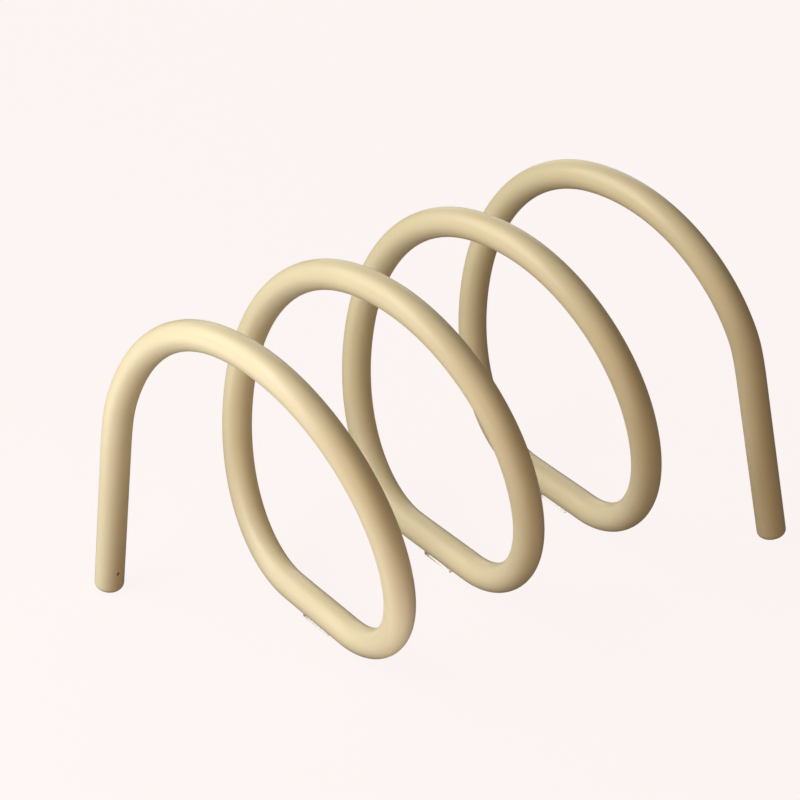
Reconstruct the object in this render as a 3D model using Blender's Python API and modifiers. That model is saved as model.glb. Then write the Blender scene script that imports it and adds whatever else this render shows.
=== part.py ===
"""A free-standing rack wound from one round steel tube.

Four arches stand in a row, three loops lie along the floor between them on clear glides, and the
tube's two ends come down as straight splayed legs with rounded plugs. Books and papers stand in
the slots between the arches. The tube is made in seven bent lengths, butted over inner sleeves.

Metres, +Z up. The row of arches runs along X, the origin is on the floor under its middle,
and the rack looks the same when it is turned half a turn about Z.
"""

import math

import bmesh
import bpy
import numpy as np
from mathutils import Matrix, Vector

# Driving dimensions, in metres unless the name says otherwise.
TUBE_DIAMETER = 0.0222
TUBE_WALL = 0.0015
PITCH = 0.115                # from one arch to the next along X
LOOP_HALF_WIDTH = 0.125      # of the tube's centreline, along Y
ARCH_RISE = 0.1245           # centreline, from the widest level up to the arch's top
LOOP_DROP = 0.1195           # centreline, from the widest level down to the floor run
FLOOR_RUN_HALF = 0.036       # half of the straight run along the floor
ARCH_FULLNESS = 2.1          # exponent of the arch's oval: 2 is an ellipse, more is squarer
SIDE_LEAN_WAVE = 0.038       # in pitches: tops and floor runs stand squarer, the sides lean more
END_ARCH_SPREAD = 0.0025     # how far the end arches stand out, and the inner ones stand in
PITCH_TAPER = 0.017          # how quickly the pitch closes up towards the coil's ends
HEIGHT_TAPER = 0.006         # how quickly the arches lose height towards the coil's ends
LEG_BREAK_DEG = 8.75         # where the leg leaves the arch, above its widest level
LEG_LEAN = 0.057             # advance along X for each metre of the leg's height
LEG_EASE = 0.020             # length to each side of the break over which the lean changes

SLEEVE_LENGTH = 0.040
SLEEVE_WALL = 0.0012
PLUG_EDGE_RADIUS = 0.005     # where a leg plug's side turns into its flat end
PLUG_SPIGOT_LENGTH = 0.006
VENT_DIAMETER = 0.0028
VENT_HEIGHT = 0.014          # along the leg, above the plug's shoulder

GLIDE_THICKNESS = 0.003      # under the tube's lowest line
GLIDE_LENGTH = 0.032
GLIDE_WIDTH = 0.011

# Clearances between pieces.
JOINT_GAP = 0.0003           # between butted tube ends, and at a plug's shoulder
SLEEVE_CLEARANCE = 0.0006    # on radius, inside the tube
GLIDE_GAP = 0.0003           # between a glide's cradle and the tube

# How finely the faceted solids follow the true curves.
CHORDS_PER_TURN = 48
TUBE_BEVEL_RESOLUTION = 4    # twelve sides
VENT_SIDES = 12
TURNED_STEPS = 16
EDGE_STEPS = 5               # of a plug's rounded edge
CRADLE_STEPS = 4             # of half of a glide's cradle
OUTLINE_STEPS = 720
TANGENT_REACH = 0.01         # in turns, to each side of a point whose direction is wanted

FIRST_TURN = -2.0            # turn number of the floor run that the first leg takes the place of
JOINT_TURNS = (-1.25, -0.75, -0.25)   # halfway up the sides, in the first half of the coil
END_ARCH_TURN = 1.5          # turn number of the last arch's top, the rack's middle being 0
TUBE_RADIUS = TUBE_DIAMETER / 2
BORE_RADIUS = TUBE_RADIUS - TUBE_WALL
SPIGOT_RADIUS = BORE_RADIUS - SLEEVE_CLEARANCE
AXIS_LOW = GLIDE_THICKNESS + GLIDE_GAP + TUBE_RADIUS   # height of the centreline's floor runs
WIDEST_LEVEL = AXIS_LOW + LOOP_DROP

COAT_COLOUR = (0.80, 0.68, 0.46, 1.0)
STEEL_COLOUR = (0.45, 0.45, 0.47, 1.0)
CLEAR_COLOUR = (0.85, 0.86, 0.86, 1.0)


def clear_scene():
    for obj in list(bpy.data.objects):
        bpy.data.objects.remove(obj, do_unlink=True)


def new_collection(name):
    collection = bpy.data.collections.new(name)
    bpy.context.scene.collection.children.link(collection)
    return collection


def new_material(name, colour, roughness, metallic=0.0):
    material = bpy.data.materials.new(name)
    material.use_nodes = True
    shader = material.node_tree.nodes["Principled BSDF"]
    shader.inputs["Base Color"].default_value = colour
    shader.inputs["Roughness"].default_value = roughness
    shader.inputs["Metallic"].default_value = metallic
    material.diffuse_color = colour
    return material


# ---- the centreline ----

def loop_outline():
    """One closed turn seen along X: from the middle of the floor run, up the +Y side, over, and back.

    The lower half is a straight floor run between two quarter ellipses. The upper half is an oval
    whose exponent is ARCH_FULLNESS. Returns y, z and the share of the turn's length so far.
    """
    quarter = np.linspace(0.0, math.pi / 2, OUTLINE_STEPS)
    lower_y = FLOOR_RUN_HALF + (LOOP_HALF_WIDTH - FLOOR_RUN_HALF) * np.sin(quarter)
    lower_z = WIDEST_LEVEL - LOOP_DROP * np.cos(quarter)
    half = np.linspace(0.0, math.pi, 2 * OUTLINE_STEPS)[1:-1]
    power = 2.0 / ARCH_FULLNESS
    upper_y = LOOP_HALF_WIDTH * np.sign(np.cos(half)) * np.abs(np.cos(half)) ** power
    upper_z = WIDEST_LEVEL + ARCH_RISE * np.sin(half) ** power
    y = np.concatenate([[0.0], lower_y, upper_y, -lower_y[::-1], [0.0]])
    z = np.concatenate([[AXIS_LOW], lower_z, upper_z, lower_z[::-1], [AXIS_LOW]])
    length = np.concatenate([[0.0], np.cumsum(np.hypot(np.diff(y), np.diff(z)))])
    return y, z, length / length[-1]


def coil_points(turns):
    """The centreline at these turn numbers, 0 being the middle of the rack and whole ones the floor runs."""
    turns = np.asarray(turns, float)
    y, z, share = loop_outline()
    along = turns - np.floor(turns)
    height = np.interp(along, share, z) - AXIS_LOW
    advance = turns - SIDE_LEAN_WAVE * np.sin(4 * math.pi * turns)
    advance -= PITCH_TAPER * turns * (turns ** 2 - END_ARCH_TURN ** 2)
    x = PITCH * advance - END_ARCH_SPREAD * np.sin(math.pi * turns)
    lift = 1.0 - HEIGHT_TAPER * (turns ** 2 - 1.0)
    return np.column_stack([x, np.interp(along, share, y), AXIS_LOW + height * lift])


def leg_break_turn():
    """The turn number at which the first leg leaves the first arch."""
    y, z, share = loop_outline()
    upper = (z >= WIDEST_LEVEL) & (y > 0)
    rising_y = y[upper][::-1]
    break_y = LOOP_HALF_WIDTH * math.cos(math.radians(LEG_BREAK_DEG))
    return np.interp(break_y, rising_y, share[upper][::-1]) + FIRST_TURN


def shoulder_level(up_leg):
    """Height of the centre of a leg plug's shoulder when the low side of its rounded edge is on the floor."""
    tilt = math.acos(up_leg[2])
    return (TUBE_RADIUS - PLUG_EDGE_RADIUS) * math.sin(tilt) + PLUG_EDGE_RADIUS


def leg_points(break_turn, spacing):
    """The first leg from its plug up to its break, straight, in the arch's direction seen along X.

    Returns the points and the change of lean in X at the break.
    """
    start, beyond = coil_points([break_turn, break_turn + TANGENT_REACH / 100])
    slope = (beyond - start) / (beyond - start)[2]
    advance = np.array([LEG_LEAN, slope[1], 1.0])
    fall = start[2] - shoulder_level(advance / np.linalg.norm(advance))
    drop = np.linspace(fall, 0.0, math.ceil(fall / spacing) + 1)[:-1]
    return start - np.outer(drop, advance), slope[0] - LEG_LEAN


def half_turned(points):
    return points * [-1.0, -1.0, 1.0]


def lengths_along(points):
    steps = np.linalg.norm(np.diff(points, axis=0), axis=1)
    return np.concatenate([[0.0], np.cumsum(steps)])


def centreline():
    """The whole centreline as chords, plug to plug, and the lengths at which its first three joints lie.

    A parabola LEG_EASE long to each side rounds the change of lean where the leg meets the arch.
    """
    break_turn = leg_break_turn()
    turns = np.linspace(break_turn, 0.0, round(-break_turn * CHORDS_PER_TURN) + 1)
    coil = coil_points(turns)
    leg, kink = leg_points(break_turn, np.linalg.norm(coil[1] - coil[0]))
    first_half = np.vstack([leg, coil])
    from_break = np.abs(lengths_along(first_half) - lengths_along(first_half)[len(leg)])
    first_half[:, 0] += kink * np.maximum(LEG_EASE - from_break, 0.0) ** 2 / (4 * LEG_EASE)
    line = np.vstack([first_half, half_turned(first_half[::-1][1:])])
    lengths = lengths_along(line)
    chords = len(leg) + np.searchsorted(turns, JOINT_TURNS)
    joints = (lengths[chords - 1] + lengths[chords]) / 2
    return line, lengths, joints


def stretch(line, lengths, start, end):
    """The points of the centreline between two lengths along it."""
    def at(length):
        return [np.interp(length, lengths, line[:, axis]) for axis in range(3)]
    inside = (lengths > start) & (lengths < end)
    return np.vstack([at(start), line[inside], at(end)])


# ---- the kinds of piece ----

def add_object(name, data, collection, material):
    data.materials.append(material)
    obj = bpy.data.objects.new(name, data)
    collection.objects.link(obj)
    return obj


def hollow_tube(name, points, radius, wall, collection, material):
    """An open-ended tube along the points: an uncapped bevelled curve, with its wall set inwards."""
    curve = bpy.data.curves.new(name, "CURVE")
    curve.dimensions = "3D"
    curve.bevel_depth = radius
    curve.bevel_resolution = TUBE_BEVEL_RESOLUTION
    spline = curve.splines.new("POLY")
    spline.points.add(len(points) - 1)
    spline.points.foreach_set("co", np.column_stack([points, np.ones(len(points))]).ravel())
    obj = add_object(name, curve, collection, material)
    shell = obj.modifiers.new("wall", "SOLIDIFY")
    shell.thickness = wall
    shell.offset = -1.0
    return obj


def turned_piece(name, profile, collection, material):
    """A solid turned about Z from a profile in XZ that runs down its outer side."""
    mesh = bpy.data.meshes.new(name)
    points = [(x, 0.0, z) for x, z in profile]
    mesh.from_pydata(points, [(i, i + 1) for i in range(len(points) - 1)], [])
    obj = add_object(name, mesh, collection, material)
    screw = obj.modifiers.new("turn", "SCREW")
    screw.axis = "Z"
    screw.steps = TURNED_STEPS
    screw.render_steps = TURNED_STEPS
    screw.use_merge_vertices = True
    screw.merge_threshold = 1e-5
    screw.use_smooth_shade = True
    return obj


def extruded_piece(name, outline, length, collection, material):
    """A flat outline in XY, extruded along Z to both sides."""
    curve = bpy.data.curves.new(name, "CURVE")
    curve.dimensions = "2D"
    curve.fill_mode = "BOTH"
    curve.extrude = length / 2
    spline = curve.splines.new("POLY")
    spline.use_cyclic_u = True
    spline.points.add(len(outline) - 1)
    for point, (x, y) in zip(spline.points, outline):
        point.co = (x, y, 0.0, 1.0)
    return add_object(name, curve, collection, material)


def as_mesh(obj, collection):
    """The object as a plain mesh with its modifiers applied, in place of the object."""
    bpy.context.view_layer.update()
    graph = bpy.context.evaluated_depsgraph_get()
    mesh = bpy.data.meshes.new_from_object(obj.evaluated_get(graph))
    work = bmesh.new()
    work.from_mesh(mesh)
    bmesh.ops.remove_doubles(work, verts=work.verts, dist=1e-6)
    bmesh.ops.recalc_face_normals(work, faces=work.faces)
    work.to_mesh(mesh)
    work.free()
    mesh.shade_smooth()
    name = obj.name
    place = obj.matrix_world.copy()
    bpy.data.objects.remove(obj, do_unlink=True)
    made = bpy.data.objects.new(name, mesh)
    made.matrix_world = place
    collection.objects.link(made)
    return made


def cut_vent(arch, foot, up_leg, collection, cutters):
    """Drills the vent through the inner wall of the leg, facing the arch's other side."""
    mesh = bpy.data.meshes.new("vent_cutter")
    work = bmesh.new()
    bmesh.ops.create_cone(work, cap_ends=True, segments=VENT_SIDES, radius1=VENT_DIAMETER / 2,
                          radius2=VENT_DIAMETER / 2, depth=TUBE_RADIUS)
    work.to_mesh(mesh)
    work.free()
    cutter = bpy.data.objects.new("vent_cutter", mesh)
    cutters.objects.link(cutter)
    cutter.hide_render = True
    cutter.display_type = "WIRE"
    inwards = Vector((0.0, -1.0, 0.0))
    cutter.location = Vector(foot) + up_leg * VENT_HEIGHT + inwards * TUBE_RADIUS
    cutter.rotation_euler = inwards.to_track_quat("Z", "Y").to_euler()
    arch = as_mesh(arch, collection)
    cut = arch.modifiers.new("vent", "BOOLEAN")
    cut.operation = "DIFFERENCE"
    cut.object = cutter
    return as_mesh(arch, collection)


def half_turn_copy(obj, name, collection):
    twin = obj.copy()
    twin.name = name
    twin.rotation_mode = "XYZ"
    twin.matrix_basis = Matrix.Rotation(math.pi, 4, "Z") @ obj.matrix_basis
    collection.objects.link(twin)
    return twin


# ---- the pieces themselves ----

def leg_plug(foot, up_leg, collection, material):
    """A flat-ended plug of the tube's own diameter with a rounded edge, and a spigot in the leg's bore."""
    profile = [(0.0, PLUG_SPIGOT_LENGTH), (SPIGOT_RADIUS, PLUG_SPIGOT_LENGTH), (SPIGOT_RADIUS, 0.0)]
    for step in range(EDGE_STEPS + 1):
        turn = math.pi / 2 * step / EDGE_STEPS
        inset = PLUG_EDGE_RADIUS * (1 - math.cos(turn))
        profile.append((TUBE_RADIUS - inset, -PLUG_EDGE_RADIUS * math.sin(turn)))
    profile.append((0.0, -PLUG_EDGE_RADIUS))
    plug = turned_piece("left_leg_plug", profile, collection, material)
    plug.location = foot
    plug.rotation_euler = up_leg.to_track_quat("Z", "Y").to_euler()
    return plug


def cradle_arc():
    """Points (across, up) of half of a cradle GLIDE_GAP clear of the tube, from its middle outwards."""
    radius = TUBE_RADIUS + GLIDE_GAP
    widest = math.asin(GLIDE_WIDTH / 2 / radius)
    angles = [widest * step / CRADLE_STEPS for step in range(CRADLE_STEPS + 1)]
    return [(radius * math.sin(a), AXIS_LOW - radius * math.cos(a)) for a in angles]


def loop_glide(name, turn, collection, material):
    """A saddle glide under a floor run, flat below, with its cradle along the tube."""
    before, centre, after = coil_points([turn - TANGENT_REACH, turn, turn + TANGENT_REACH])
    along = Vector(after - before).normalized()
    up = Vector((0.0, 0.0, 1.0))
    across = up.cross(along)
    right = cradle_arc()
    left = [(-x, z) for x, z in right[1:]]
    edge = GLIDE_WIDTH / 2
    outline = [(-edge, 0.0), (edge, 0.0)] + right[::-1] + left
    glide = extruded_piece(name, outline, GLIDE_LENGTH, collection, material)
    glide.matrix_basis = Matrix.Translation((centre[0], centre[1], 0.0)) @ Matrix(
        (across, up, along)).transposed().to_4x4()
    return glide


def build():
    clear_scene()
    rack = new_collection("coiled_tube_rack")
    cutters = new_collection("cutters")
    coat = new_material("cream_powder_coat", COAT_COLOUR, 0.42)
    steel = new_material("bare_steel", STEEL_COLOUR, 0.45, metallic=1.0)
    clear = new_material("clear_glide", CLEAR_COLOUR, 0.5)

    line, lengths, (joint_1, joint_2, joint_3) = centreline()
    total = lengths[-1]
    foot = line[0]
    up_leg = Vector(line[1] - line[0]).normalized()
    gap = JOINT_GAP / 2

    def bent_length(name, start, end):
        points = stretch(line, lengths, start, end)
        return hollow_tube(name, points, TUBE_RADIUS, TUBE_WALL, rack, coat)

    end_arch = bent_length("left_end_arch", JOINT_GAP, joint_1 - gap)
    end_arch = cut_vent(end_arch, foot, up_leg, rack, cutters)
    floor_loop = bent_length("left_floor_loop", joint_1 + gap, joint_2 - gap)
    inner_arch = bent_length("left_inner_arch", joint_2 + gap, joint_3 - gap)
    bent_length("middle_floor_loop", joint_3 + gap, total - joint_3 - gap)
    half_turn_copy(end_arch, "right_end_arch", rack)
    half_turn_copy(floor_loop, "right_floor_loop", rack)
    half_turn_copy(inner_arch, "right_inner_arch", rack)

    for number, joint in enumerate((joint_1, joint_2, joint_3), start=1):
        points = stretch(line, lengths, joint - SLEEVE_LENGTH / 2, joint + SLEEVE_LENGTH / 2)
        sleeve = hollow_tube(f"joint_sleeve_{number}", points, SPIGOT_RADIUS, SLEEVE_WALL, rack, steel)
        half_turn_copy(sleeve, f"joint_sleeve_{7 - number}", rack)

    half_turn_copy(leg_plug(foot, up_leg, rack, coat), "right_leg_plug", rack)
    side_glide = loop_glide("left_loop_glide", -1.0, rack, clear)
    loop_glide("middle_loop_glide", 0.0, rack, clear)
    half_turn_copy(side_glide, "right_loop_glide", rack)


build()
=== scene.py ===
"""The looks of a free-standing rack wound from one round tube, coated in satin cream.

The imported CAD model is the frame. Each coated length, leg plug and glide gets a fine surface that
stands for its CAD node, and the joint sleeves inside the tube keep their CAD meshes. Metres, +Z up,
the row of arches along X, and the origin on the floor under its middle.
"""

import math

import bpy
import numpy as np
from mathutils import Matrix, Vector


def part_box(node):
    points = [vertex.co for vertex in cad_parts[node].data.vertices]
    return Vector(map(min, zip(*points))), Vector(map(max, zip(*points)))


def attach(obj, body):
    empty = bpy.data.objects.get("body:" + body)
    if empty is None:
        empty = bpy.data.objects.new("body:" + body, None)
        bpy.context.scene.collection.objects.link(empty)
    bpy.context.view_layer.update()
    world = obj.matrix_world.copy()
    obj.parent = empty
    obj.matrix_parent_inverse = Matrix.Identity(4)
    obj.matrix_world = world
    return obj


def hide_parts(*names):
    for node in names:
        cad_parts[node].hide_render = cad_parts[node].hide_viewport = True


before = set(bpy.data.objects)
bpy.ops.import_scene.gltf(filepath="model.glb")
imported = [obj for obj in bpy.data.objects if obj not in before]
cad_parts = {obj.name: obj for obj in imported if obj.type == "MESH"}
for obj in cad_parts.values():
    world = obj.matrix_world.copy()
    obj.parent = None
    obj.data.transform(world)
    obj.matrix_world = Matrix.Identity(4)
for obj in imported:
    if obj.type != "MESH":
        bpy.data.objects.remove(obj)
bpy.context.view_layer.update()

# The tube and its centreline, as the CAD source has them.
TUBE_RADIUS = 0.0111
BORE_RADIUS = 0.0096
PITCH = 0.115                # from one arch to the next along X
LOOP_HALF_WIDTH = 0.125
ARCH_RISE = 0.1245           # from the widest level up to the arch's top
LOOP_DROP = 0.1195           # from the widest level down to the floor run
FLOOR_RUN_HALF = 0.036
ARCH_FULLNESS = 2.1          # exponent of the arch's oval
SIDE_LEAN_WAVE = 0.038
END_ARCH_SPREAD = 0.0025
PITCH_TAPER = 0.017
HEIGHT_TAPER = 0.006
LEG_BREAK_DEG = 8.75         # where the leg leaves the arch, above its widest level
LEG_LEAN = 0.057             # advance along X for each metre of the leg's height
LEG_EASE = 0.020             # length to each side of the break over which the lean changes
FIRST_TURN = -2.0
END_ARCH_TURN = 1.5
CAD_CHORDS_PER_TURN = 48
JOINT_TURNS = (-1.25, -0.75, -0.25)

# Smaller features.
PLUG_EDGE_RADIUS = 0.005     # where a leg plug's side turns into its flat end
PLUG_SPIGOT_RADIUS = 0.0090
PLUG_SPIGOT_LENGTH = 0.006
VENT_RADIUS = 0.0014
VENT_LIP = 0.0003            # rounding of the coat at the vent's outer edge
VENT_HEIGHT = 0.014          # along the leg, above the plug's shoulder
GLIDE_THICKNESS = 0.003      # under the tube's lowest line
GLIDE_LENGTH = 0.032
GLIDE_WIDTH = 0.011
GLIDE_GAP = 0.0003           # between a glide's cradle and the tube
GLIDE_EDGE = 0.0007          # rounding of a glide's edges

AXIS_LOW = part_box("middle_loop_glide")[0].z + GLIDE_THICKNESS + GLIDE_GAP + TUBE_RADIUS
WIDEST_LEVEL = AXIS_LOW + LOOP_DROP

# How fine the surfaces are.
OUTLINE_STEPS = 1440         # of a quarter of the loop's outline
STATION_STEP = 0.002         # along the tube
SIDES = 96                   # around the tube
VENT_ROWS = 2                # stations to each side of the vent that its own surface replaces
VENT_COLUMNS = 6             # the same around the tube
VENT_PULL = 0.006            # how far from the vent the stations shift to centre on it
BREAK_STEP = 1e-4            # turns over which the coil's slope at the leg break is taken
GLIDE_STEP = 0.01            # turns over which a floor run's direction is taken


# ---- the centreline ----

def loop_outline():
    """One closed turn seen along X: from the middle of the floor run, up the +Y side, over, and back.

    The lower half is a straight run between two quarter ellipses, y = run + (half width - run) sin q and
    z = level - drop cos q. The upper half is an oval, y = half width * cos(h)^p and z = level + rise *
    sin(h)^p, where p is two over the fullness. Returns y, z and the share of the turn's length so far.
    """
    quarter = np.linspace(0.0, math.pi / 2, OUTLINE_STEPS)
    lower_y = FLOOR_RUN_HALF + (LOOP_HALF_WIDTH - FLOOR_RUN_HALF) * np.sin(quarter)
    lower_z = WIDEST_LEVEL - LOOP_DROP * np.cos(quarter)
    half = np.linspace(0.0, math.pi, 2 * OUTLINE_STEPS)[1:-1]
    power = 2.0 / ARCH_FULLNESS
    upper_y = LOOP_HALF_WIDTH * np.sign(np.cos(half)) * np.abs(np.cos(half)) ** power
    upper_z = WIDEST_LEVEL + ARCH_RISE * np.sin(half) ** power
    y = np.concatenate([[0.0], lower_y, upper_y, -lower_y[::-1], [0.0]])
    z = np.concatenate([[AXIS_LOW], lower_z, upper_z, lower_z[::-1], [AXIS_LOW]])
    length = np.concatenate([[0.0], np.cumsum(np.hypot(np.diff(y), np.diff(z)))])
    return y, z, length / length[-1]


OUTLINE_Y, OUTLINE_Z, OUTLINE_SHARE = loop_outline()


def coil_points(turns):
    """The centreline at these turn numbers: the outline by the turn's fraction, and x = pitch times turns
    with a sine that leans the sides, a cubic that closes the pitch at the ends and a sine for the ends."""
    turns = np.asarray(turns, float)
    along = turns - np.floor(turns)
    height = np.interp(along, OUTLINE_SHARE, OUTLINE_Z) - AXIS_LOW
    advance = turns - SIDE_LEAN_WAVE * np.sin(4 * math.pi * turns)
    advance -= PITCH_TAPER * turns * (turns ** 2 - END_ARCH_TURN ** 2)
    x = PITCH * advance - END_ARCH_SPREAD * np.sin(math.pi * turns)
    lift = 1.0 - HEIGHT_TAPER * (turns ** 2 - 1.0)
    return np.column_stack([x, np.interp(along, OUTLINE_SHARE, OUTLINE_Y), AXIS_LOW + height * lift])


def lengths_along(points):
    steps = np.linalg.norm(np.diff(points, axis=0), axis=1)
    return np.concatenate([[0.0], np.cumsum(steps)])


def leg_break_turn():
    """The turn number at which the first leg leaves the first arch."""
    upper = (OUTLINE_Z >= WIDEST_LEVEL) & (OUTLINE_Y > 0)
    break_y = LOOP_HALF_WIDTH * math.cos(math.radians(LEG_BREAK_DEG))
    return np.interp(break_y, OUTLINE_Y[upper][::-1], OUTLINE_SHARE[upper][::-1]) + FIRST_TURN


def half_turned(points):
    return points * [-1.0, -1.0, 1.0]


def shoulder_level(up_leg):
    """Height of the centre of a plug's shoulder when the low side of its rounded edge is on the floor."""
    tilt = math.acos(up_leg[2])
    return (TUBE_RADIUS - PLUG_EDGE_RADIUS) * math.sin(tilt) + PLUG_EDGE_RADIUS


def fine_centreline():
    """The whole centreline, plug to plug, and the lengths along it of its three first joints.

    The leg is a straight line from the break down to the plug's shoulder. A parabola LEG_EASE long to each
    side rounds the change of lean there. The second half is the first one turned half a turn about Z.
    """
    break_turn = leg_break_turn()
    turns = np.linspace(break_turn, 0.0, round(-break_turn * OUTLINE_STEPS) + 1)
    coil = coil_points(turns)
    start, beyond = coil_points([break_turn, break_turn + BREAK_STEP])
    slope = (beyond - start) / (beyond - start)[2]
    advance = np.array([LEG_LEAN, slope[1], 1.0])
    fall = start[2] - shoulder_level(advance / np.linalg.norm(advance))
    drop = np.linspace(fall, 0.0, math.ceil(fall / STATION_STEP) + 1)[:-1]
    leg = start - np.outer(drop, advance)
    first_half = np.vstack([leg, coil])
    from_break = np.abs(lengths_along(first_half) - lengths_along(first_half)[len(leg)])
    kink = slope[0] - LEG_LEAN
    first_half[:, 0] += kink * np.maximum(LEG_EASE - from_break, 0.0) ** 2 / (4 * LEG_EASE)
    line = np.vstack([first_half, half_turned(first_half[::-1][1:])])
    lengths = lengths_along(line)
    cad_turns = np.linspace(break_turn, 0.0, round(-break_turn * CAD_CHORDS_PER_TURN) + 1)
    chord = np.searchsorted(cad_turns, JOINT_TURNS)
    joint_turns = (cad_turns[chord - 1] + cad_turns[chord]) / 2
    joints = np.interp(joint_turns, turns, lengths[len(leg):len(leg) + len(turns)])
    return line, lengths, joints


LINE, LENGTHS, JOINTS = fine_centreline()
TOTAL = LENGTHS[-1]


def axis_at(length):
    return np.column_stack([np.interp(length, LENGTHS, LINE[:, axis]) for axis in range(3)])


def tube_frame(length):
    """Centre, tangent, and two unit directions across: X made square to the tangent, and their product."""
    length = np.atleast_1d(np.asarray(length, float))
    reach = STATION_STEP / 2
    low = np.clip(length - reach, 0.0, TOTAL)
    high = np.clip(length + reach, 0.0, TOTAL)
    tangent = axis_at(high) - axis_at(low)
    tangent /= np.linalg.norm(tangent, axis=1, keepdims=True)
    across = np.array([1.0, 0.0, 0.0]) - tangent[:, :1] * tangent
    across /= np.linalg.norm(across, axis=1, keepdims=True)
    return axis_at(length), tangent, across, np.cross(tangent, across)


def tube_point(length, angle, radius):
    """The point of a round tube at a length along it: centre + radius (across cos a + over sin a)."""
    length, angle, radius = np.broadcast_arrays(length, angle, radius)
    centre, _, across, over = tube_frame(length.ravel())
    angle = angle.ravel()[:, None]
    points = centre + radius.ravel()[:, None] * (across * np.cos(angle) + over * np.sin(angle))
    return points.reshape(length.shape + (3,))


# ---- meshes from arrays ----

def grid_quads(index, cyclic_rows=False):
    """The quads between neighbours of an index grid whose columns always close on themselves."""
    below = np.roll(index, -1, axis=0) if cyclic_rows else index[1:]
    here = index if cyclic_rows else index[:-1]
    quads = np.stack([here, np.roll(here, -1, axis=1), np.roll(below, -1, axis=1), below], axis=-1)
    return quads.reshape(-1, 4)


def new_piece(name, points, faces, material, node, sharp_deg=35.0):
    """A mesh object at the origin that stands for one CAD node."""
    mesh = bpy.data.meshes.new(name)
    mesh.from_pydata(points.tolist(), [], [list(face) for face in faces])
    mesh.shade_smooth()
    mesh.set_sharp_from_angle(angle=math.radians(sharp_deg))
    mesh.materials.append(material)
    piece = bpy.data.objects.new(name, mesh)
    bpy.context.scene.collection.objects.link(piece)
    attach(piece, "root")
    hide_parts(node)
    return piece


def vent_patch(p_rim, q_rim, vent_at, vent_angle, ring_outer, ring_inner, first_new):
    """The surface from the coat's skin, round the vent's lip, through the wall and out onto the bore.

    Each ring joins the rim of the opening in the outer grid to the one in the bore's grid. A ring is a blend
    of the square rim and a circle in the unrolled surface (length p along, arc q around), and its depth below
    the skin follows a quarter circle at the lip and then runs straight through the wall.
    """
    count = len(p_rim)
    start = math.atan2(q_rim[0], p_rim[0])
    sense = np.sign(p_rim[0] * q_rim[1] - q_rim[0] * p_rim[1])
    around = start + sense * np.arange(count) * 2 * math.pi / count
    lip = np.linspace(0.0, math.pi / 2, 5)
    wall = TUBE_RADIUS - BORE_RADIUS
    blend = np.concatenate([[0.35, 0.7], np.ones(len(lip)), [1.0, 1.0], [0.7, 0.35]])
    hole = np.concatenate([[VENT_RADIUS + VENT_LIP] * 2, VENT_RADIUS + VENT_LIP * (1 - np.sin(lip)),
                           [VENT_RADIUS] * 2, [VENT_RADIUS] * 2])
    depth = np.concatenate([[0.0] * 2, VENT_LIP * (1 - np.cos(lip)), [wall / 2, wall], [wall] * 2])
    p = (1 - blend[:, None]) * p_rim + blend[:, None] * hole[:, None] * np.cos(around)
    q = (1 - blend[:, None]) * q_rim + blend[:, None] * hole[:, None] * np.sin(around)
    points = tube_point(vent_at + p, vent_angle + q / TUBE_RADIUS, (TUBE_RADIUS - depth)[:, None])
    index = first_new + np.arange(points.shape[0] * count).reshape(-1, count)
    index = np.vstack([ring_outer, index, ring_inner])
    return points.reshape(-1, 3), grid_quads(index)


def rim_of(grid):
    """The indices round the border of a block of a grid, in order."""
    return np.concatenate([grid[0, :-1], grid[:-1, -1], grid[-1, :0:-1], grid[:0:-1, 0]])


def tube_length(start, end, vent_at=None, vent_angle=0.0):
    """A closed hollow tube from start to end: rings out along the skin and back along the bore.

    The stations are evenly spaced about the vent where there is one. Where there is a vent, a block of quads
    is left out of the skin and of the bore, and the vent's own surface joins the two openings.
    """
    count = math.ceil((end - start) / STATION_STEP)
    stations = np.linspace(start, end, count + 1)
    angles = np.arange(SIDES) * 2 * math.pi / SIDES
    if vent_at is not None:
        nearest = int(round((vent_at - start) / (end - start) * count))
        stations = stations + (vent_at - stations[nearest]) * np.exp(-((stations - vent_at) / VENT_PULL) ** 2)
        stations[0] = start
        stations[-1] = end
    along = np.concatenate([stations, stations[::-1]])
    radius = np.concatenate([np.full(count + 1, TUBE_RADIUS), np.full(count + 1, BORE_RADIUS)])
    points = tube_point(along[:, None], angles[None, :], radius[:, None])
    index = np.arange(points.shape[0] * SIDES).reshape(-1, SIDES)
    quads = grid_quads(index, cyclic_rows=True)
    points = points.reshape(-1, 3)
    if vent_at is None:
        return points, quads
    column = int(round((vent_angle % (2 * math.pi)) / (2 * math.pi) * SIDES))
    rows = slice(nearest - VENT_ROWS, nearest + VENT_ROWS + 1)
    columns = slice(column - VENT_COLUMNS, column + VENT_COLUMNS + 1)
    outer = index[rows, columns]
    inner = index[::-1][rows, columns]
    kept = np.ones(len(quads), bool).reshape(len(along), SIDES)
    for row in (nearest, len(along) - 1 - nearest):
        kept[row - VENT_ROWS:row + VENT_ROWS, column - VENT_COLUMNS:column + VENT_COLUMNS] = False
    p_grid = np.broadcast_to((stations[rows] - vent_at)[:, None], outer.shape)
    q_grid = np.broadcast_to((angles[columns] - angles[column])[None, :] * TUBE_RADIUS, outer.shape)
    rim = rim_of(np.arange(outer.size).reshape(outer.shape))
    patch_points, patch_quads = vent_patch(
        p_grid.ravel()[rim], q_grid.ravel()[rim], vent_at, angles[column],
        rim_of(outer), rim_of(inner), len(points))
    return np.vstack([points, patch_points]), np.vstack([quads[kept.ravel()], patch_quads])


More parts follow.
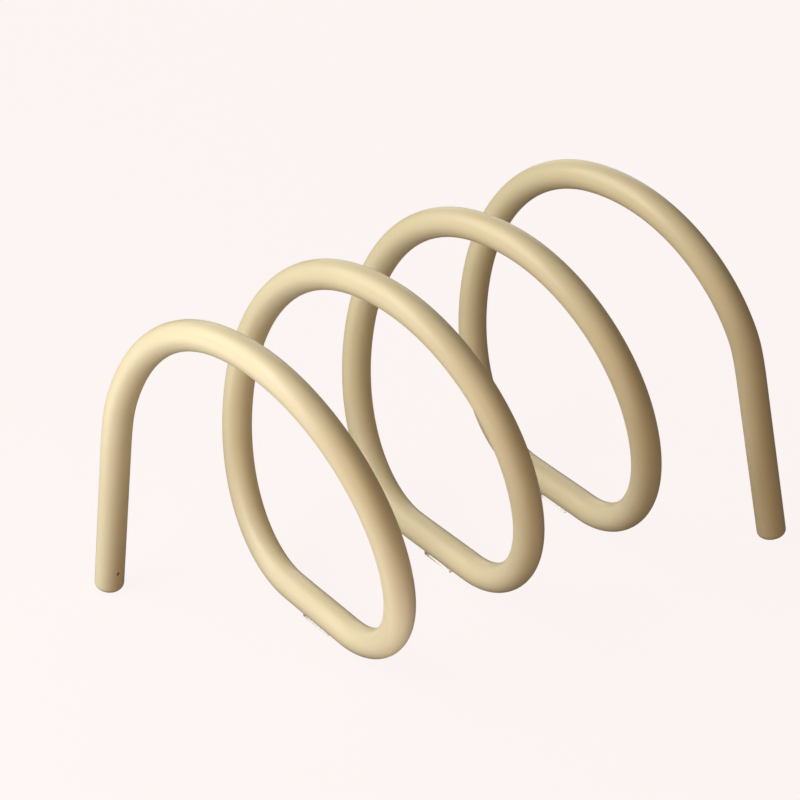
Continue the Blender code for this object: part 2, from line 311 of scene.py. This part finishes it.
def turned(profile, centre, axis):
    """A closed surface turned about an axis: each profile point (radius, height) becomes a ring, and the
    first and the last are poles. A ring's directions are X made square to the axis, and their product."""
    axis = axis / np.linalg.norm(axis)
    across = np.array([1.0, 0.0, 0.0]) - axis[0] * axis
    across /= np.linalg.norm(across)
    over = np.cross(axis, across)
    radius = profile[1:-1, 0, None, None]
    height = profile[1:-1, 1, None, None]
    angle = (np.arange(SIDES) * 2 * math.pi / SIDES)[None, :, None]
    rings = centre + radius * (across * np.cos(angle) + over * np.sin(angle)) + height * axis
    index = np.arange(rings.shape[0] * SIDES).reshape(-1, SIDES)
    first, last = index.size, index.size + 1
    poles = centre + profile[[0, -1], 1, None] * axis
    points = np.vstack([rings.reshape(-1, 3), poles])
    faces = grid_quads(index)[:, ::-1].tolist()
    faces += np.column_stack([index[0], np.roll(index[0], -1), np.full(SIDES, first)]).tolist()
    faces += np.column_stack([np.roll(index[-1], -1), index[-1], np.full(SIDES, last)]).tolist()
    return points, faces


# ---- the finishes ----

def noise(nodes, links, coordinates, scale, detail=2.0, roughness=0.5):
    texture = nodes.new("ShaderNodeTexNoise")
    texture.inputs["Scale"].default_value = scale
    texture.inputs["Detail"].default_value = detail
    texture.inputs["Roughness"].default_value = roughness
    links.new(coordinates, texture.inputs["Vector"])
    return texture.outputs["Fac"]


def ranged(nodes, links, value, low, high):
    """The middle of a noise, 0.3 to 0.7, spread over low to high."""
    spread = nodes.new("ShaderNodeMapRange")
    spread.inputs["From Min"].default_value = 0.3
    spread.inputs["From Max"].default_value = 0.7
    spread.inputs["To Min"].default_value = low
    spread.inputs["To Max"].default_value = high
    links.new(value, spread.inputs["Value"])
    return spread.outputs["Result"]


def blended(nodes, links, factor, first, second):
    mix = nodes.new("ShaderNodeMix")
    mix.data_type = "RGBA"
    mix.inputs[6].default_value = first
    mix.inputs[7].default_value = second
    links.new(factor, mix.inputs[0])
    return mix.outputs[2]


def bumped(nodes, links, height, distance, strength, under=None):
    bump = nodes.new("ShaderNodeBump")
    bump.inputs["Distance"].default_value = distance
    bump.inputs["Strength"].default_value = strength
    links.new(height, bump.inputs["Height"])
    if under is not None:
        links.new(under, bump.inputs["Normal"])
    return bump.outputs["Normal"]


def new_finish(name):
    material = bpy.data.materials.new(name)
    material.use_nodes = True
    nodes, links = material.node_tree.nodes, material.node_tree.links
    coordinates = nodes.new("ShaderNodeTexCoord").outputs["Object"]
    return material, nodes, links, nodes["Principled BSDF"], coordinates


def cream_powder_coat():
    """Satin cream powder coat: a fine orange peel over slow waves in the film, with faint clouds of tone."""
    material, nodes, links, shader, place = new_finish("cream_powder_coat")
    clouds = ranged(nodes, links, noise(nodes, links, place, 9.0, 3.0), 0.0, 1.0)
    tone = blended(nodes, links, clouds, (0.80, 0.70, 0.46, 1.0), (0.84, 0.74, 0.50, 1.0))
    links.new(tone, shader.inputs["Base Color"])
    gloss = ranged(nodes, links, noise(nodes, links, place, 55.0, 2.0), 0.31, 0.39)
    links.new(gloss, shader.inputs["Roughness"])
    shader.inputs["Specular IOR Level"].default_value = 0.5
    film = bumped(nodes, links, noise(nodes, links, place, 60.0, 1.0), 0.0004, 0.25)
    peel = bumped(nodes, links, noise(nodes, links, place, 620.0, 2.0, 0.4), 0.00005, 0.5, film)
    links.new(peel, shader.inputs["Normal"])
    return material


def bare_steel():
    """Dull cold-drawn steel, with fine draw lines and a mottle in its gloss."""
    material, nodes, links, shader, place = new_finish("bare_steel")
    mottle = ranged(nodes, links, noise(nodes, links, place, 180.0, 4.0), 0.0, 1.0)
    links.new(blended(nodes, links, mottle, (0.42, 0.42, 0.43, 1.0), (0.52, 0.52, 0.53, 1.0)),
              shader.inputs["Base Color"])
    links.new(ranged(nodes, links, mottle, 0.38, 0.5), shader.inputs["Roughness"])
    shader.inputs["Metallic"].default_value = 1.0
    links.new(bumped(nodes, links, noise(nodes, links, place, 900.0, 3.0), 0.00003, 0.4),
              shader.inputs["Normal"])
    return material


def clear_glide():
    """Clear glossy polymer with a very faint cloud in its tone and its gloss."""
    material, nodes, links, shader, place = new_finish("clear_glide")
    cloud = ranged(nodes, links, noise(nodes, links, place, 240.0, 2.0), 0.0, 1.0)
    links.new(blended(nodes, links, cloud, (0.97, 0.96, 0.95, 1.0), (0.93, 0.93, 0.92, 1.0)),
              shader.inputs["Base Color"])
    links.new(ranged(nodes, links, cloud, 0.06, 0.12), shader.inputs["Roughness"])
    shader.inputs["Transmission Weight"].default_value = 0.95
    shader.inputs["IOR"].default_value = 1.45
    links.new(bumped(nodes, links, noise(nodes, links, place, 300.0, 1.0), 0.00002, 0.2),
              shader.inputs["Normal"])
    return material


COAT = cream_powder_coat()
STEEL = bare_steel()
CLEAR = clear_glide()


# ---- the pieces ----

def coated_lengths():
    """The seven bent lengths. Neighbours share their end rings, as a dressed and coated weld does."""
    joint_1, joint_2, joint_3 = JOINTS
    vent_angle = -math.pi / 2
    spans = {
        "end_arch": tube_length(0.0, joint_1, VENT_HEIGHT, vent_angle),
        "floor_loop": tube_length(joint_1, joint_2),
        "inner_arch": tube_length(joint_2, joint_3),
    }
    for kind, (points, faces) in spans.items():
        new_piece(f"coated_left_{kind}", points, faces, COAT, f"left_{kind}")
        new_piece(f"coated_right_{kind}", half_turned(points), faces, COAT, f"right_{kind}")
    points, faces = tube_length(joint_3, TOTAL - joint_3)
    new_piece("coated_middle_floor_loop", points, faces, COAT, "middle_floor_loop")


def leg_plugs():
    """A flat-ended plug on each leg, its edge a quarter circle, with the spigot that fills the bore."""
    turn = np.linspace(0.0, math.pi / 2, 17)
    edge = np.column_stack([TUBE_RADIUS - PLUG_EDGE_RADIUS * (1 - np.cos(turn)),
                            -PLUG_EDGE_RADIUS * np.sin(turn)])
    spigot = np.array([[0.0, PLUG_SPIGOT_LENGTH], [PLUG_SPIGOT_RADIUS, PLUG_SPIGOT_LENGTH],
                       [PLUG_SPIGOT_RADIUS, 0.0]])
    face = np.array([[0.5 * edge[-1, 0], -PLUG_EDGE_RADIUS], [0.0, -PLUG_EDGE_RADIUS]])
    centre, tangent, _, _ = tube_frame(0.0)
    points, faces = turned(np.vstack([spigot, edge, face]), centre[0], tangent[0])
    new_piece("left_plug", points, faces, COAT, "left_leg_plug")
    new_piece("right_plug", half_turned(points), faces, COAT, "right_leg_plug")


def glide_section():
    """A glide seen along its run, anticlockwise: flat foot, quarter-circle corners, sides, cradle's arc."""
    half = GLIDE_WIDTH / 2
    corner = np.linspace(-math.pi / 2, 0.0, 7)
    right_foot = np.column_stack([half - GLIDE_EDGE + GLIDE_EDGE * np.cos(corner),
                                  GLIDE_EDGE + GLIDE_EDGE * np.sin(corner)])
    cradle = TUBE_RADIUS + GLIDE_GAP
    widest = math.asin((half - GLIDE_EDGE / 2) / cradle)
    sweep = np.linspace(widest, -widest, 25)
    saddle = np.column_stack([cradle * np.sin(sweep), AXIS_LOW - cradle * np.cos(sweep)])
    side = np.array([[half, saddle[0, 1] - GLIDE_EDGE / 2]])
    mirrored = [-1.0, 1.0]
    return np.vstack([right_foot, side, saddle, side * mirrored, right_foot[::-1] * mirrored])


def saddle_glide(turn):
    """The section carried along the floor run. Towards each end it draws in by a quarter circle about a point
    inside it, and a pole closes the end face."""
    section = glide_section()
    hub = np.array([0.0, GLIDE_THICKNESS / 2])
    roll = np.linspace(0.0, math.pi / 2, 7)
    run_end = GLIDE_LENGTH / 2 - GLIDE_EDGE * (1 - np.sin(roll))
    draw_end = GLIDE_EDGE * (1 - np.cos(roll))
    run = np.concatenate([-run_end[::-1], run_end])
    draw = np.concatenate([draw_end[::-1], draw_end])
    spread = section - hub
    shrink = 1 - draw[:, None, None] / np.linalg.norm(spread, axis=1)[None, :, None]
    rings = hub + shrink * spread
    before, centre, after = coil_points([turn - GLIDE_STEP, turn, turn + GLIDE_STEP])
    along = (after - before) / np.linalg.norm(after - before)
    up = np.array([0.0, 0.0, 1.0])
    across = np.cross(up, along)
    base = np.array([centre[0], centre[1], 0.0])
    points = base + run[:, None, None] * along + rings[..., :1] * across + rings[..., 1:] * up
    index = np.arange(points.shape[0] * points.shape[1]).reshape(points.shape[:2])
    poles = base + run[[0, -1], None] * along + hub[1] * up
    first, last = index.size, index.size + 1
    faces = grid_quads(index).tolist()
    faces += np.column_stack([np.roll(index[0], -1), index[0], np.full(index.shape[1], first)]).tolist()
    faces += np.column_stack([index[-1], np.roll(index[-1], -1), np.full(index.shape[1], last)]).tolist()
    return np.vstack([points.reshape(-1, 3), poles]), faces


def glides():
    """A clear saddle glide under each floor run."""
    points, faces = saddle_glide(-1.0)
    new_piece("left_glide", points, faces, CLEAR, "left_loop_glide")
    new_piece("right_glide", half_turned(points), faces, CLEAR, "right_loop_glide")
    points, faces = saddle_glide(0.0)
    new_piece("middle_glide", points, faces, CLEAR, "middle_loop_glide")


coated_lengths()
leg_plugs()
glides()

for node_name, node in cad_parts.items():
    if node_name.startswith("joint_sleeve"):
        node.data.materials.clear()
        node.data.materials.append(STEEL)


# ---- floor, light and camera ----

FLOOR_HALF = 12.0
FLOOR_TINT = (1.0, 0.94, 0.925, 1.0)
FLOOR_GLOW = 0.94                # how much of the floor's paleness is its own, which keeps shadows faint
FLOOR_BASE = (0.045, 0.042, 0.041, 1.0)
AMBIENT_TINT = (1.0, 0.86, 0.70, 1.0)
AMBIENT = 0.14

MIDDLE = Vector((0.0, 0.0, 0.12))          # of the whole rack
FRONT = Vector((-0.17, -0.06, 0.10))       # of the front arch
ON_THE_FLOOR = Vector((-0.30, -0.24, 0.0)) # before the front arch
STRAIGHT_UP = 90.0

CAMERA_PLACE = (-1.0902, -1.3108, 1.1765)
CAMERA_TURN_DEG = -38.995
CAMERA_DIP_DEG = 31.329
CAMERA_ROLL_DEG = -2.411
CAMERA_LENS_MM = 123.26
CAMERA_SHIFT = (-0.0079, 0.0071)


def pale_floor():
    """A plain matt floor, pale mostly by its own glow. It lights nothing and shows in no highlight."""
    mesh = bpy.data.meshes.new("floor")
    half = FLOOR_HALF
    corners = [(-half, -half, 0), (half, -half, 0), (half, half, 0), (-half, half, 0)]
    mesh.from_pydata(corners, [], [(0, 1, 2, 3)])
    floor = bpy.data.objects.new("floor", mesh)
    bpy.context.scene.collection.objects.link(floor)
    material = bpy.data.materials.new("pale_floor")
    material.use_nodes = True
    shader = material.node_tree.nodes["Principled BSDF"]
    shader.inputs["Base Color"].default_value = FLOOR_BASE
    shader.inputs["Roughness"].default_value = 1.0
    shader.inputs["Specular IOR Level"].default_value = 0.0
    shader.inputs["Emission Color"].default_value = FLOOR_TINT
    shader.inputs["Emission Strength"].default_value = FLOOR_GLOW
    mesh.materials.append(material)
    floor.visible_diffuse = False
    floor.visible_glossy = False


def round_light(name, place, aim, size, power, colour, glint=1.0):
    """A round area light. The glint is its share in the highlights."""
    lamp = bpy.data.lights.new(name, "AREA")
    lamp.shape = "DISK"
    lamp.size = size
    lamp.energy = power
    lamp.color = colour
    lamp.specular_factor = glint
    obj = bpy.data.objects.new(name, lamp)
    bpy.context.scene.collection.objects.link(obj)
    obj.location = place
    obj.rotation_euler = (aim - place).to_track_quat("-Z", "Y").to_euler()
    obj.visible_camera = False


def around(aim, azimuth_deg, elevation_deg, distance):
    """The point at a distance from the aim, by its azimuth from +X and its elevation above the floor."""
    azimuth = math.radians(azimuth_deg)
    elevation = math.radians(elevation_deg)
    flat = Vector((math.cos(azimuth), math.sin(azimuth), 0.0)) * math.cos(elevation)
    return aim + distance * (flat + Vector((0.0, 0.0, math.sin(elevation))))


def studio_lights():
    """Soft light from the left, nearest to the front arch, with a warm fill and a weak light from behind."""
    round_light("window", around(MIDDLE, 140.0, 45.0, 2.2), MIDDLE, 2.0, 26.5, (1.0, 0.975, 0.875))
    round_light("high_key", around(MIDDLE, 170.0, 40.0, 1.6), MIDDLE, 0.8, 4.0, (0.93, 1.0, 0.90))
    round_light("near_key", around(FRONT, 170.0, 25.0, 0.8), FRONT, 0.5, 2.35, (0.90, 0.91, 1.0))
    round_light("low_side", around(FRONT, 140.0, 2.0, 0.5), FRONT, 0.35, 0.48, (0.82, 0.88, 1.0))
    round_light("warm_fill", around(MIDDLE, 230.0, 10.0, 1.6), MIDDLE, 0.8, 3.7, (1.0, 0.55, 0.18))
    round_light("back_fill", around(MIDDLE, 45.0, 17.0, 2.15), MIDDLE, 1.8, 11.0, (1.0, 0.93, 0.82), 0.2)
    bounce = around(ON_THE_FLOOR, 0.0, STRAIGHT_UP, 0.006)
    above = around(ON_THE_FLOOR, 0.0, STRAIGHT_UP, 1.0)
    round_light("floor_bounce", bounce, above, 0.42, 0.36, (1.0, 0.95, 0.93))


def ambient_light():
    world = bpy.data.worlds.new("studio")
    bpy.context.scene.world = world
    world.use_nodes = True
    background = world.node_tree.nodes["Background"]
    background.inputs["Color"].default_value = AMBIENT_TINT
    background.inputs["Strength"].default_value = AMBIENT


def camera():
    data = bpy.data.cameras.new("camera")
    data.sensor_width = 36.0
    data.lens = CAMERA_LENS_MM
    data.shift_x, data.shift_y = CAMERA_SHIFT
    data.clip_end = 50.0
    obj = bpy.data.objects.new("camera", data)
    bpy.context.scene.collection.objects.link(obj)
    obj.matrix_world = (
        Matrix.Translation(CAMERA_PLACE)
        @ Matrix.Rotation(math.radians(CAMERA_TURN_DEG), 4, "Z")
        @ Matrix.Rotation(math.radians(90.0 - CAMERA_DIP_DEG), 4, "X")
        @ Matrix.Rotation(math.radians(CAMERA_ROLL_DEG), 4, "Z")
    )
    bpy.context.scene.camera = obj


pale_floor()
ambient_light()
studio_lights()
camera()
bpy.context.scene.view_settings.view_transform = "Standard"
